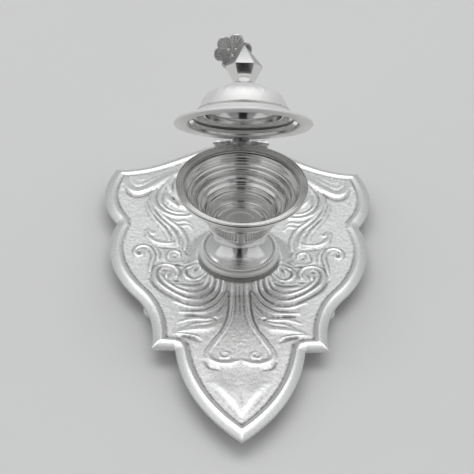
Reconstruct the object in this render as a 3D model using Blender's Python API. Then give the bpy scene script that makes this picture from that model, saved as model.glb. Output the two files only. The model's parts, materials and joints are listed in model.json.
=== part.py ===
"""A silver lidded incense cup on an embossed, leaf-shaped, footed tray.

The origin is on the ground under the middle of the tray. +Y points to the
back of the tray, where the lid hinges, and +Z is up. The lid is modelled
shut, on an empty that lies on the hinge axis, and the empty is then turned
to hold the lid half open, as it rests.

Sizes below are in millimetres; MM turns them into metres.
"""
import math

import bmesh
import bpy
from mathutils import Matrix, Vector

MM = 0.001
GAP = 0.3                       # clearance left between pieces that touch

# Tray
TRAY_TOP = 8.0                  # top of the raised border
SHEET = 1.2                     # thickness of the tray's sheet
BORDER_WIDTH = 3.8
BORDER_FOOT = 0.4               # how far the border's inner side leans inwards at its foot
BORDER_RISE = 0.8               # border above the sunk field
APRON_DROP = 2.4                # turned-down edge, measured from the border's top
SCREW_HOLE_RADIUS = 2.2
FIELD_TOP = TRAY_TOP - BORDER_RISE
FIELD_UNDERSIDE = FIELD_TOP - SHEET
CUP_Y = 7.6                     # the cup stands a little behind the tray's middle
BOSS_RADIUS = 19.0              # low round rise in the field that carries the cup
BOSS_TOP_RADIUS = 13.4
BOSS_HEIGHT = 2.2

# Feet
FOOT_RADIUS = 2.9
FOOT_PLACES = {
    "foot_front_left": (-30.6, -15.0),
    "foot_front_right": (30.6, -15.0),
    "foot_back_left": (-37.0, 50.0),
    "foot_back_right": (37.0, 50.0),
}

# Cup
CUP_SEGMENTS = 40
SEAT_RADIUS = 12.6
SEAT_BOTTOM = FIELD_TOP + BOSS_HEIGHT + GAP
SEAT_TOP = SEAT_BOTTOM + 1.0
FOOT_BOTTOM = SEAT_TOP + GAP
BASE_RADIUS = 14.2
WAIST_RADIUS = 6.2
RIM_TOP = 41.9
RIM_RADIUS = 22.8
LIP_INNER_RADIUS = 20.0
LIP_DROP = 0.95                 # the lip is dished: this much lower at its inner edge
BOWL_FLOOR = 24.6
BOWL_WALL = 0.8
BAND_THICKNESS = 0.5

# Hinge
PIN_Y = CUP_Y + 24.6
PIN_Z = RIM_TOP - 0.9
PIN_RADIUS = 0.5
BARREL_RADIUS = 1.2
LEAF_THICKNESS = 0.7
BARREL_BORE = PIN_RADIUS + GAP
HINGE_LENGTH = 19.0
LID_KNUCKLE_LENGTH = 6.6
REST_OPENING = math.radians(48.0)

# Lid
LID_BOTTOM = RIM_TOP + GAP
LID_RADIUS = 23.8
LID_SHEET = 0.7
RING_RADIUS = 13.7              # ring inside the lid where the brim meets the dome
DOME_TOP = 13.7                 # flat on top of the dome, above LID_BOTTOM
DOME_TOP_SHEET = 0.8
STUD_HOLE_RADIUS = 2.0
STUD_LENGTH = 2.6               # length of the finial's stud under the dome's top

# Finial, heights above LID_BOTTOM
NECK_RADIUS = 3.4
NECK_BOTTOM = DOME_TOP + GAP
NECK_TOP = NECK_BOTTOM + 0.5
GIRDLE_HEIGHT = 20.4
GIRDLE_RADIUS = 6.6
CALYX_TOP = 27.9
FLOWER_HEIGHT = 27.4
FLOWER_SIDE = -3.9
FLOWER_BACK = 3.9
FLOWER_NOD = math.radians(37.4)
FLOWER_TURN = math.radians(15.0)
PETALS = 6
PETAL_CENTRE = 4.1
PETAL_RADIUS = 2.7
PETAL_SHEET = 0.7
BEADS = 3
BEAD_RADIUS = 0.55
BEAD_CIRCLE = 1.5


def clear_scene():
    """Remove every object that the file opened with."""
    for item in list(bpy.data.objects):
        bpy.data.objects.remove(item, do_unlink=True)


def make_material(name, colour, roughness):
    """A bare metal surface."""
    material = bpy.data.materials.new(name)
    material.use_nodes = True
    shader = material.node_tree.nodes["Principled BSDF"]
    shader.inputs["Base Color"].default_value = (*colour, 1.0)
    shader.inputs["Metallic"].default_value = 1.0
    shader.inputs["Roughness"].default_value = roughness
    return material


def add_object(name, mesh_builder, material, origin=(0.0, 0.0, 0.0)):
    """Store a finished bmesh, which is drawn in millimetres around origin."""
    bmesh.ops.recalc_face_normals(mesh_builder, faces=mesh_builder.faces)
    bmesh.ops.scale(mesh_builder, vec=(MM, MM, MM), verts=mesh_builder.verts)
    mesh = bpy.data.meshes.new(name)
    mesh_builder.to_mesh(mesh)
    mesh_builder.free()
    mesh.materials.append(material)
    mesh.shade_smooth()
    mesh.set_sharp_from_angle(angle=math.radians(35.0))
    item = bpy.data.objects.new(name, mesh)
    item.location = Vector(origin) * MM
    bpy.context.collection.objects.link(item)
    return item


def turn_profile(profile, segments=CUP_SEGMENTS):
    """Revolve a closed (radius, height) outline around the Z axis."""
    builder = bmesh.new()
    rings = []
    for radius, height in profile:
        if radius < 1e-6:
            rings.append([builder.verts.new((0.0, 0.0, height))] * segments)
            continue
        ring = []
        for step in range(segments):
            angle = 2 * math.pi * step / segments
            ring.append(builder.verts.new((radius * math.cos(angle), radius * math.sin(angle), height)))
        rings.append(ring)
    for index, ring in enumerate(rings):
        following = rings[(index + 1) % len(rings)]
        for step in range(segments):
            after = (step + 1) % segments
            corners = [ring[step], ring[after], following[after], following[step]]
            corners = list(dict.fromkeys(corners))
            if len(corners) > 2:
                builder.faces.new(corners)
    return builder


def ring_profile(radius, height, wire_radius, points=8):
    """The round section of a wire ring."""
    section = []
    for step in range(points):
        angle = 2 * math.pi * step / points
        section.append((radius + wire_radius * math.cos(angle), height + wire_radius * math.sin(angle)))
    return section


def bezier(start, pull_start, pull_end, end, steps):
    """Points along a cubic curve, without its last point."""
    points = []
    for step in range(steps):
        t = step / steps
        weights = ((1 - t) ** 3, 3 * t * (1 - t) ** 2, 3 * t * t * (1 - t), t ** 3)
        controls = (start, pull_start, pull_end, end)
        points.append(tuple(sum(w * c[axis] for w, c in zip(weights, controls)) for axis in (0, 1)))
    return points


def tray_half_outline():
    """Right-hand edge of the tray, from the crest at the back to the tip at the front."""
    points = bezier((0.0, 79.0), (16.0, 79.0), (28.0, 59.5), (46.4, 60.5), 12)
    points += bezier((46.4, 60.5), (51.4, 49.5), (51.4, 38.0), (44.3, 28.1), 10)
    points += bezier((44.3, 28.1), (49.5, 14.0), (45.0, -1.0), (36.4, -11.3), 10)
    points += bezier((36.4, -11.3), (32.0, -17.0), (28.8, -24.5), (29.7, -37.4), 6)
    points += [(29.7, -37.4)]
    points += bezier((21.9, -37.8), (20.0, -54.0), (13.0, -68.0), (0.0, -79.0), 10)
    points += [(0.0, -79.0)]
    return points


def mirrored_outline(half):
    """Close a half outline that starts and ends on the middle line."""
    left = [(-x, y) for x, y in reversed(half[1:-1])]
    return half + left


def shrink_outline(outline, distance):
    """Move every edge of a closed outline inwards by the same distance."""
    area = sum(a[0] * b[1] - b[0] * a[1] for a, b in zip(outline, outline[1:] + outline[:1]))
    side = math.copysign(1.0, area)
    moved = []
    for index, point in enumerate(outline):
        before = Vector(outline[index - 1])
        here = Vector(point)
        after = Vector(outline[(index + 1) % len(outline)])
        first = (here - before).normalized()
        second = (after - here).normalized()
        first_in = Vector((-first.y, first.x)) * side
        second_in = Vector((-second.y, second.x)) * side
        middle = (first_in + second_in).normalized()
        moved.append(here + middle * distance / max(middle.dot(first_in), 0.3))
    return [(point.x, point.y) for point in moved]


def add_loop(builder, outline, height):
    """One closed loop of vertices at a height."""
    return [builder.verts.new((x, y, height)) for x, y in outline]


def bridge(builder, lower, upper):
    """Join two loops with the same number of vertices by a band of faces."""
    count = len(lower)
    for index in range(count):
        after = (index + 1) % count
        builder.faces.new((lower[index], lower[after], upper[after], upper[index]))


def circle(radius, centre, segments, start=0.0):
    """Points of a circle, clockwise from start."""
    points = []
    for step in range(segments):
        angle = start - 2 * math.pi * step / segments
        points.append((centre[0] + radius * math.cos(angle), centre[1] + radius * math.sin(angle)))
    return points


def fill_between(builder, outer, inner):
    """Fill the flat area between an outer loop and an inner hole."""
    edges = []
    for loop in (outer, inner):
        for index, vertex in enumerate(loop):
            following = loop[(index + 1) % len(loop)]
            edge = builder.edges.get((vertex, following)) or builder.edges.new((vertex, following))
            edges.append(edge)
    bmesh.ops.triangle_fill(builder, use_beauty=True, edges=edges)


def build_tray(material):
    """Sheet tray: sunk field with a round boss and screw hole, raised border, turned-down apron."""
    outline = mirrored_outline(tray_half_outline())
    border_inner = shrink_outline(outline, BORDER_WIDTH)
    apron_inner = shrink_outline(outline, SHEET)
    border_underside = shrink_outline(outline, BORDER_WIDTH + BORDER_FOOT)
    apron_bottom = TRAY_TOP - APRON_DROP
    builder = bmesh.new()
    field = add_loop(builder, border_underside, FIELD_TOP)
    rise = add_loop(builder, border_inner, TRAY_TOP)
    edge = add_loop(builder, outline, TRAY_TOP)
    hem = add_loop(builder, outline, apron_bottom)
    hem_inner = add_loop(builder, apron_inner, apron_bottom)
    under = add_loop(builder, apron_inner, FIELD_UNDERSIDE)
    for lower, upper in ((field, rise), (rise, edge), (edge, hem), (hem, hem_inner), (hem_inner, under)):
        bridge(builder, lower, upper)
    boss = [(BOSS_RADIUS, 0.0), (BOSS_TOP_RADIUS, BOSS_HEIGHT), (SCREW_HOLE_RADIUS, BOSS_HEIGHT)]
    boss_rings = []
    for radius, height in boss:
        boss_rings.append(add_loop(builder, circle(radius, (0.0, CUP_Y), 32), FIELD_TOP + height))
    for radius, height in reversed(boss):
        boss_rings.append(add_loop(builder, circle(radius, (0.0, CUP_Y), 32), FIELD_UNDERSIDE + height))
    for first, second in zip(boss_rings, boss_rings[1:]):
        bridge(builder, first, second)
    fill_between(builder, field, boss_rings[0])
    fill_between(builder, under, boss_rings[-1])
    return add_object("tray", builder, material)


def build_feet(material):
    """Four ball feet, each with a small flat to stand on."""
    centre = FIELD_UNDERSIDE - GAP - FOOT_RADIUS
    lowest = math.asin(-centre / FOOT_RADIUS)
    steps = 8
    profile = [(0.0, 0.0)]
    for step in range(steps):
        angle = lowest + (math.pi / 2 - lowest) * step / steps
        profile.append((FOOT_RADIUS * math.cos(angle), centre + FOOT_RADIUS * math.sin(angle)))
    profile.append((0.0, centre + FOOT_RADIUS))
    for name, (x, y) in FOOT_PLACES.items():
        add_object(name, turn_profile(profile, 20), material, (x, y, 0.0))


def build_cup_stand(material):
    """Seat disc, hollow trumpet foot and the beaded wire around it."""
    seat = [(SCREW_HOLE_RADIUS, SEAT_BOTTOM), (SEAT_RADIUS, SEAT_BOTTOM),
            (SEAT_RADIUS, SEAT_TOP), (SCREW_HOLE_RADIUS, SEAT_TOP)]
    add_object("cup_seat", turn_profile(seat), material, (0.0, CUP_Y, 0.0))
    top = BOWL_FLOOR - BOWL_WALL - GAP
    flare = bezier((12.0, FOOT_BOTTOM + 2.5), (8.6, FOOT_BOTTOM + 3.8),
                   (WAIST_RADIUS, FOOT_BOTTOM + 6.6), (WAIST_RADIUS, top - 2.4), 7)
    foot = [(2.0, FOOT_BOTTOM), (BASE_RADIUS, FOOT_BOTTOM), (BASE_RADIUS, FOOT_BOTTOM + 1.2),
            (BASE_RADIUS - 0.5, FOOT_BOTTOM + 1.7), (12.9, FOOT_BOTTOM + 1.8), (12.0, FOOT_BOTTOM + 2.0)]
    foot += flare
    foot += [(WAIST_RADIUS, top - 2.4), (WAIST_RADIUS + 0.9, top - 0.9), (WAIST_RADIUS + 2.6, top),
             (0.0, top), (0.0, FOOT_BOTTOM + 7.0), (2.0, FOOT_BOTTOM + 7.0)]
    add_object("cup_foot", turn_profile(foot), material, (0.0, CUP_Y, 0.0))
    beads = ring_profile(12.9, FOOT_BOTTOM + 1.8 + GAP + 0.45, 0.45)
    add_object("foot_bead_ring", turn_profile(beads), material, (0.0, CUP_Y, 0.0))


def bowl_inside():
    """Inside of the bowl, from the lip down its two steps to the raised floor disc."""
    floor = BOWL_FLOOR
    lip = RIM_TOP - BAND_THICKNESS - GAP - LIP_DROP
    return [(19.6, lip - 0.2), (18.9, RIM_TOP - 4.0), (17.0, RIM_TOP - 6.5), (14.4, RIM_TOP - 8.4),
            (13.0, RIM_TOP - 10.6), (12.0, RIM_TOP - 11.8), (10.8, RIM_TOP - 12.6), (10.5, floor + 1.4),
            (9.9, floor), (7.9, floor), (7.4, floor + 0.5), (0.0, floor + 0.5)]


def build_bowl(material):
    """Spun bowl with a near-upright lower wall and a turned-out lip, as a thin shell."""
    floor = BOWL_FLOOR
    outside = [(0.0, floor - BOWL_WALL), (10.2, floor - BOWL_WALL), (11.1, floor - 0.2),
               (11.2, floor + 1.4), (11.6, RIM_TOP - 12.3), (12.6, RIM_TOP - 12.2), (13.9, RIM_TOP - 10.9),
               (15.1, RIM_TOP - 9.1), (17.7, RIM_TOP - 7.3), (19.7, RIM_TOP - 4.2), (20.5, RIM_TOP - 3.0),
               (RIM_RADIUS, RIM_TOP - 1.6), (RIM_RADIUS, RIM_TOP - BAND_THICKNESS - GAP)]
    lip = [(LIP_INNER_RADIUS, RIM_TOP - BAND_THICKNESS - GAP - LIP_DROP)]
    add_object("cup_bowl", turn_profile(outside + lip + bowl_inside()), material, (0.0, CUP_Y, 0.0))


def build_rim_band(material):
    """Dished ring soldered on the lip, on whose outer edge the lid closes."""
    inner = LIP_INNER_RADIUS
    band = [(inner, RIM_TOP - LIP_DROP - BAND_THICKNESS), (RIM_RADIUS, RIM_TOP - BAND_THICKNESS),
            (RIM_RADIUS, RIM_TOP), (inner, RIM_TOP - LIP_DROP)]
    add_object("cup_rim_band", turn_profile(band), material, (0.0, CUP_Y, 0.0))


def build_fixing(material):
    """Countersunk screw and washer that hold the cup down from under the tray."""
    washer_top = FIELD_UNDERSIDE + BOSS_HEIGHT - GAP
    washer = [(2.0, washer_top - 0.6), (4.2, washer_top - 0.6), (4.2, washer_top), (2.0, washer_top)]
    add_object("fixing_washer", turn_profile(washer, 24), material, (0.0, CUP_Y, 0.0))
    head_top = washer_top - 0.6 - GAP
    screw = [(0.0, head_top - 1.4), (2.6, head_top - 1.4), (3.2, head_top - 0.8), (3.2, head_top),
             (1.6, head_top), (1.6, FOOT_BOTTOM + 6.0), (1.1, FOOT_BOTTOM + 6.5), (0.0, FOOT_BOTTOM + 6.5)]
    add_object("fixing_screw", turn_profile(screw, 24), material, (0.0, CUP_Y, 0.0))


def extrude_outline(outline, x_start, x_end):
    """A bar along X with the closed (y, z) outline as its section."""
    builder = bmesh.new()
    near = [builder.verts.new((x_start, y, z)) for y, z in outline]
    far = [builder.verts.new((x_end, y, z)) for y, z in outline]
    bridge(builder, near, far)
    builder.faces.new(near)
    builder.faces.new(far)
    return builder


def bore_cutter(length):
    """Cylinder along X that drills the barrel for its pin."""
    builder = extrude_outline(circle(BARREL_BORE, (0.0, 0.0), 16), -length / 2, length / 2)
    cutter = add_object("hinge_bore_cutter", builder, bpy.data.materials["plain_silver"])
    cutter.display_type = "WIRE"
    cutter.hide_render = True
    return cutter


def drill(item, cutter):
    """Subtract the cutter from a hinge leaf."""
    cut = item.modifiers.new("bore", "BOOLEAN")
    cut.operation = "DIFFERENCE"
    cut.solver = "EXACT"
    cut.object = cutter


def leaf_with_knuckles(name, section, plate, spans, material):
    """Plate across the hinge with barrel knuckles on the given X spans.

    section is the (y, z) outline of one knuckle with its tail, drawn around
    the pin, and plate is the outline of the strip that joins the knuckles.
    """
    builder = bmesh.new()
    cuts = sorted({edge for span in spans for edge in span} | {plate["start"], plate["end"]})
    loops = [[builder.verts.new((x, y, z)) for y, z in plate["outline"]] for x in cuts]
    for first, second in zip(loops, loops[1:]):
        bridge(builder, first, second)
    builder.faces.new(loops[0])
    builder.faces.new(loops[-1])
    leaf = add_object(name, builder, material)
    for index, (start, end) in enumerate(spans):
        knuckle = add_object(f"{name}_knuckle_cutter_{index}", extrude_outline(section, start, end), material)
        knuckle.display_type = "WIRE"
        knuckle.hide_render = True
        knuckle.parent = leaf
        join = leaf.modifiers.new("knuckle", "BOOLEAN")
        join.operation = "UNION"
        join.solver = "EXACT"
        join.object = knuckle
    return leaf


def barrel_section(tail):
    """Outline of a knuckle: a round barrel, counterclockwise from the tail's first point to its last."""
    first, last = tail
    start = math.atan2(first[1], first[0])
    end = math.atan2(last[1], last[0])
    sweep = (end - start) % (2 * math.pi)
    steps = 20
    arc = []
    for step in range(1, steps):
        angle = start + sweep * step / steps
        arc.append((BARREL_RADIUS * math.cos(angle), BARREL_RADIUS * math.sin(angle)))
    return [first] + arc + [last]


def build_hinge(material, pin_material, lid_pivot):
    """Fixed leaf under the lip, moving leaf on the lid's brim, and the pin."""
    half = HINGE_LENGTH / 2
    inner = LID_KNUCKLE_LENGTH / 2
    cutter = bore_cutter(HINGE_LENGTH + 4.0)
    cutter.location = Vector((0.0, PIN_Y, PIN_Z)) * MM

    tab_low = -3.2
    tab_high = tab_low + 1.0
    plate = {"outline": [(-3.6, tab_low), (-0.6, tab_low), (-0.6, tab_high), (-3.6, tab_high)],
             "start": -half, "end": half}
    section = barrel_section(((-0.2, tab_low), (-1.1, tab_high))) + [(-1.1, tab_low)]
    spans = [(-half, -inner - GAP), (inner + GAP, half)]
    fixed = leaf_with_knuckles("hinge_leaf_cup", section, plate, spans, material)
    fixed.location = Vector((0.0, PIN_Y, PIN_Z)) * MM
    drill(fixed, cutter)

    leaf_low = LID_BOTTOM + LID_SHEET + GAP - PIN_Z
    leaf_high = leaf_low + LEAF_THICKNESS
    brim_edge = LID_RADIUS - (PIN_Y - CUP_Y)
    strap = brim_edge + 0.35
    overlap = strap + 0.2
    plate = {"outline": [(-3.6, leaf_low), (overlap, leaf_low), (overlap, leaf_high), (-3.6, leaf_high)],
             "start": -inner, "end": inner}
    section = barrel_section(((strap, leaf_low), (strap + 0.8, leaf_high))) + [(strap, leaf_high)]
    moving = leaf_with_knuckles("hinge_leaf_lid", section, plate, [(-inner, inner)], material)
    moving.parent = lid_pivot
    drill(moving, cutter)

    pin_half = half + 0.5
    pin = extrude_outline(circle(PIN_RADIUS, (0.0, 0.0), 16), -pin_half, pin_half)
    add_object("hinge_pin", pin, pin_material, (0.0, PIN_Y, PIN_Z))


def lid_outside():
    """Outer line of the lid from its edge to the flat on top, heights above LID_BOTTOM."""
    brim = [(LID_RADIUS, 0.0), (LID_RADIUS, LID_SHEET), (21.4, LID_SHEET + 0.1)]
    brim += bezier((20.4, 1.5), (18.8, 2.7), (17.0, 3.2), (15.9, 4.4), 4)
    drum = bezier((15.4, 4.9), (14.7, 6.8), (13.5, 10.2), (9.8, 11.3), 6)
    cap = bezier((9.0, 11.5), (7.8, 12.0), (7.1, 13.2), (5.6, DOME_TOP), 5)
    return brim + drum + [(9.8, 11.3)] + cap + [(5.6, DOME_TOP)]


def build_lid(material, lid_pivot):
    """Domed lid as a thin shell, with the seam ring and the finial's nut inside."""
    outside = lid_outside()
    inside = [(max(r - 0.75, 0.0), h - 0.35) for r, h in reversed(outside[6:])]
    under_top = DOME_TOP - DOME_TOP_SHEET
    inside = [(STUD_HOLE_RADIUS, under_top)] + inside + [(16.5, 2.5), (18.5, 1.2), (19.0, 0.0)]
    profile = outside + [(STUD_HOLE_RADIUS, DOME_TOP)] + inside
    centre = (0.0, CUP_Y - PIN_Y, LID_BOTTOM - PIN_Z)
    dome = add_object("lid_dome", turn_profile(profile), material, centre)
    dome.parent = lid_pivot
    ring = [(RING_RADIUS - 0.7, 3.0), (RING_RADIUS, 3.0), (RING_RADIUS, 5.2), (RING_RADIUS - 0.7, 5.2)]
    seam_ring = add_object("lid_seam_ring", turn_profile(ring), material, centre)
    seam_ring.parent = lid_pivot
    nut_top = under_top - GAP
    nut = [(1.5, nut_top - 1.8), (3.4, nut_top - 1.8), (3.4, nut_top), (1.5, nut_top)]
    finial_nut = add_object("finial_nut", turn_profile(nut, 6), material, centre)
    finial_nut.parent = lid_pivot


def build_calyx(material, lid_pivot):
    """Thin round collar with its stud, and the six-sided double pyramid on top."""
    centre = (0.0, CUP_Y - PIN_Y, LID_BOTTOM - PIN_Z)
    stud_bottom = DOME_TOP - DOME_TOP_SHEET - STUD_LENGTH
    neck = [(0.0, stud_bottom), (1.1, stud_bottom), (1.1, NECK_BOTTOM), (NECK_RADIUS, NECK_BOTTOM),
            (NECK_RADIUS, NECK_TOP), (0.0, NECK_TOP)]
    collar = add_object("finial_neck", turn_profile(neck, 24), material, centre)
    collar.parent = lid_pivot
    gem_bottom = NECK_TOP + GAP
    gem = [(0.0, gem_bottom), (NECK_RADIUS, gem_bottom), (GIRDLE_RADIUS, GIRDLE_HEIGHT), (0.4, CALYX_TOP),
           (0.0, CALYX_TOP)]
    calyx = add_object("finial_calyx", turn_profile(gem, 6), material, centre)
    calyx.parent = lid_pivot


def petal_edge(angle):
    """Radius of the flower's scalloped edge: overlapping round petals on a circle."""
    spacing = 2 * math.pi / PETALS
    offset = (angle + spacing / 2) % spacing - spacing / 2
    across = PETAL_CENTRE * math.sin(offset)
    return PETAL_CENTRE * math.cos(offset) + math.sqrt(PETAL_RADIUS ** 2 - across ** 2)


def cupping(radius):
    """Forward curl of the petals away from the flower's flat middle."""
    return 0.035 * radius ** 2


def build_flower(material, lid_pivot):
    """Open six-petalled flower behind the calyx, and the beads at its middle."""
    builder = bmesh.new()
    segments = PETALS * 8
    middle_front = builder.verts.new((0.0, 0.0, PETAL_SHEET))
    middle_back = builder.verts.new((0.0, 0.0, 0.0))
    rings = []
    for share in (0.35, 0.7, 1.0):
        front = []
        back = []
        for step in range(segments):
            angle = 2 * math.pi * step / segments
            radius = petal_edge(angle) * share
            x = radius * math.cos(angle)
            y = radius * math.sin(angle)
            front.append(builder.verts.new((x, y, cupping(radius) + PETAL_SHEET)))
            back.append(builder.verts.new((x, y, cupping(radius))))
        rings.append((front, back))
    for (front, back), (next_front, next_back) in zip(rings, rings[1:]):
        bridge(builder, front, next_front)
        bridge(builder, back, next_back)
    bridge(builder, *rings[-1])
    for step in range(segments):
        after = (step + 1) % segments
        builder.faces.new((middle_front, rings[0][0][step], rings[0][0][after]))
        builder.faces.new((middle_back, rings[0][1][after], rings[0][1][step]))
    facing = Matrix.Rotation(math.pi / 2 + FLOWER_NOD, 4, "X") @ Matrix.Rotation(FLOWER_TURN, 4, "Z")
    centre = Vector((FLOWER_SIDE, CUP_Y - PIN_Y + FLOWER_BACK, LID_BOTTOM - PIN_Z + FLOWER_HEIGHT))
    flower = add_object("finial_flower", builder, material)
    placement = Matrix.Translation(centre * MM) @ facing
    flower.matrix_local = placement
    flower.parent = lid_pivot

    for step in range(BEADS):
        angle = 2 * math.pi * step / BEADS + math.radians(20.0)
        height = PETAL_SHEET + cupping(BEAD_CIRCLE) + GAP / 3 + BEAD_RADIUS
        place = Matrix.Translation((BEAD_CIRCLE * math.cos(angle), BEAD_CIRCLE * math.sin(angle), height))
        builder = bmesh.new()
        bmesh.ops.create_icosphere(builder, subdivisions=2, radius=BEAD_RADIUS, matrix=place)
        bead = add_object(f"flower_bead_{step + 1}", builder, material)
        bead.matrix_local = placement
        bead.parent = lid_pivot


def build_all():
    """Build every piece, then open the lid to its resting angle."""
    clear_scene()
    polished = make_material("plain_silver", (0.90, 0.90, 0.88), 0.18)
    satin = make_material("satin_silver", (0.92, 0.92, 0.90), 0.38)
    steel = make_material("plain_steel", (0.55, 0.55, 0.56), 0.30)
    lid_pivot = bpy.data.objects.new("lid_pivot", None)
    lid_pivot.location = Vector((0.0, PIN_Y, PIN_Z)) * MM
    bpy.context.collection.objects.link(lid_pivot)
    build_tray(satin)
    build_feet(polished)
    build_cup_stand(polished)
    build_bowl(polished)
    build_rim_band(polished)
    build_fixing(steel)
    build_hinge(polished, steel, lid_pivot)
    build_lid(satin, lid_pivot)
    build_calyx(polished, lid_pivot)
    build_flower(polished, lid_pivot)
    lid_pivot.rotation_euler = (-REST_OPENING, 0.0, 0.0)


build_all()
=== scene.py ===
import json
import math

import bmesh
import bpy
import numpy as np
from mathutils import Matrix, Quaternion, Vector
from mathutils.geometry import delaunay_2d_cdt
from mathutils.kdtree import KDTree


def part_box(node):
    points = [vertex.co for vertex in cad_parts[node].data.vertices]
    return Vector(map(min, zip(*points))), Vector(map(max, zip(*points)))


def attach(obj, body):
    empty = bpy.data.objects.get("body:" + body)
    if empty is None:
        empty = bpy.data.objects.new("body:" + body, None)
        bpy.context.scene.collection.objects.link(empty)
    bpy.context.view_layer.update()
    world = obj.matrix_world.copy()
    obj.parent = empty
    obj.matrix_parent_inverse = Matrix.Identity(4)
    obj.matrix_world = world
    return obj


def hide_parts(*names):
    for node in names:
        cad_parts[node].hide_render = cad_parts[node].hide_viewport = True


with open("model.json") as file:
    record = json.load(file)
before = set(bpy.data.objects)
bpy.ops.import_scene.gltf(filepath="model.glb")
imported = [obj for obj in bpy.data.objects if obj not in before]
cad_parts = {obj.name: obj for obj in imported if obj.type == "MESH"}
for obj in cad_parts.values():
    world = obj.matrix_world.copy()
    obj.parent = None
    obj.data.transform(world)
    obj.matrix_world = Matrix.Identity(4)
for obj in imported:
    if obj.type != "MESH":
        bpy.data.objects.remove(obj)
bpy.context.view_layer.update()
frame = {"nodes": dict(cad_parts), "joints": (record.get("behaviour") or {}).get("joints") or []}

# Shapes are drawn in millimetres; MM turns them into the frame's metres.
MM = 0.001


def low(node):
    """Lowest corner of a CAD node, in millimetres."""
    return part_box(node)[0] / MM


def high(node):
    """Highest corner of a CAD node, in millimetres."""
    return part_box(node)[1] / MM


# Heights and centres that every piece is worked out from.
GAP = 0.3
TRAY_TOP = low("tray").z + 2.4
FIELD_TOP = TRAY_TOP - 0.8
SHEET = 1.2
APRON_BOTTOM = low("tray").z
BOSS_TOP = high("tray").z
BOSS_HEIGHT = BOSS_TOP - FIELD_TOP
BOSS_RADIUS = 19.0
BOSS_TOP_RADIUS = 13.4
SCREW_HOLE_RADIUS = 2.2
CUP_Y = (low("cup_seat").y + high("cup_seat").y) / 2
FOOT_BOTTOM = low("cup_foot").z
FOOT_TOP = high("cup_foot").z
BOWL_BOTTOM = low("cup_bowl").z
RIM_TOP = high("cup_rim_band").z
RIM_RADIUS = high("cup_rim_band").x
LIP_INNER_RADIUS = RIM_RADIUS - 2.8
LIP_DROP = 0.95
HINGE = Vector(frame["joints"][0]["pos_m"]) / MM
REST_OPENING = -math.radians(frame["joints"][0]["range_deg"][0])
LID_BOTTOM = RIM_TOP + GAP
LID_RADIUS = high("lid_dome").x


# ---------------------------------------------------------------- view and light

CAMERA_ELEVATION = math.radians(39.7)
CAMERA_AZIMUTH = math.radians(-2.1)
CAMERA_ROLL = math.radians(2.3)
CAMERA_DISTANCE = 546.3
CAMERA_AIM = Vector((-0.55, CUP_Y + 12.1, TRAY_TOP))
SENSOR = 36.0
LENS = 113.9

# Name, place and size in metres, and power in watts of each area light.
SOFT_BOXES = [
    ("back_box", (0.0, 0.42, 1.15), (1.4, 0.7), 5.0),
    ("front_top_box", (0.0, -0.40, 1.20), (1.6, 0.9), 0.95),
    ("left_box", (-1.05, -0.35, 0.60), (1.7, 1.1), 2.3),
    ("right_box", (1.15, -0.30, 0.60), (1.7, 1.1), 2.0),
]


def place_item(name, data, location, turn):
    """Camera or light, placed in metres and turned by a quaternion."""
    item = bpy.data.objects.new(name, data)
    item.location = location
    item.rotation_mode = "QUATERNION"
    item.rotation_quaternion = turn
    bpy.context.scene.collection.objects.link(item)
    return item


def make_camera():
    """Camera that looks down on the cup from the front, a little turned and rolled."""
    level = math.cos(CAMERA_ELEVATION)
    back = Vector((math.sin(CAMERA_AZIMUTH) * level, -math.cos(CAMERA_AZIMUTH) * level,
                   math.sin(CAMERA_ELEVATION)))
    data = bpy.data.cameras.new("camera")
    data.sensor_width = SENSOR
    data.lens = LENS
    turn = back.to_track_quat("Z", "Y") @ Quaternion((0.0, 0.0, 1.0), CAMERA_ROLL)
    place = (CAMERA_AIM + back * CAMERA_DISTANCE) * MM
    bpy.context.scene.camera = place_item("camera", data, place, turn)


def make_lights():
    """Soft boxes behind, above and on both sides of the front, aimed at the cup."""
    for name, place, size, power in SOFT_BOXES:
        data = bpy.data.lights.new(name, "AREA")
        data.shape = "RECTANGLE"
        data.size, data.size_y = size
        data.energy = power
        aim = Vector((0.0, CUP_Y, TRAY_TOP)) * MM - Vector(place)
        place_item(name, data, place, aim.to_track_quat("-Z", "Y"))
    bpy.context.scene.view_settings.view_transform = "Standard"


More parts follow.
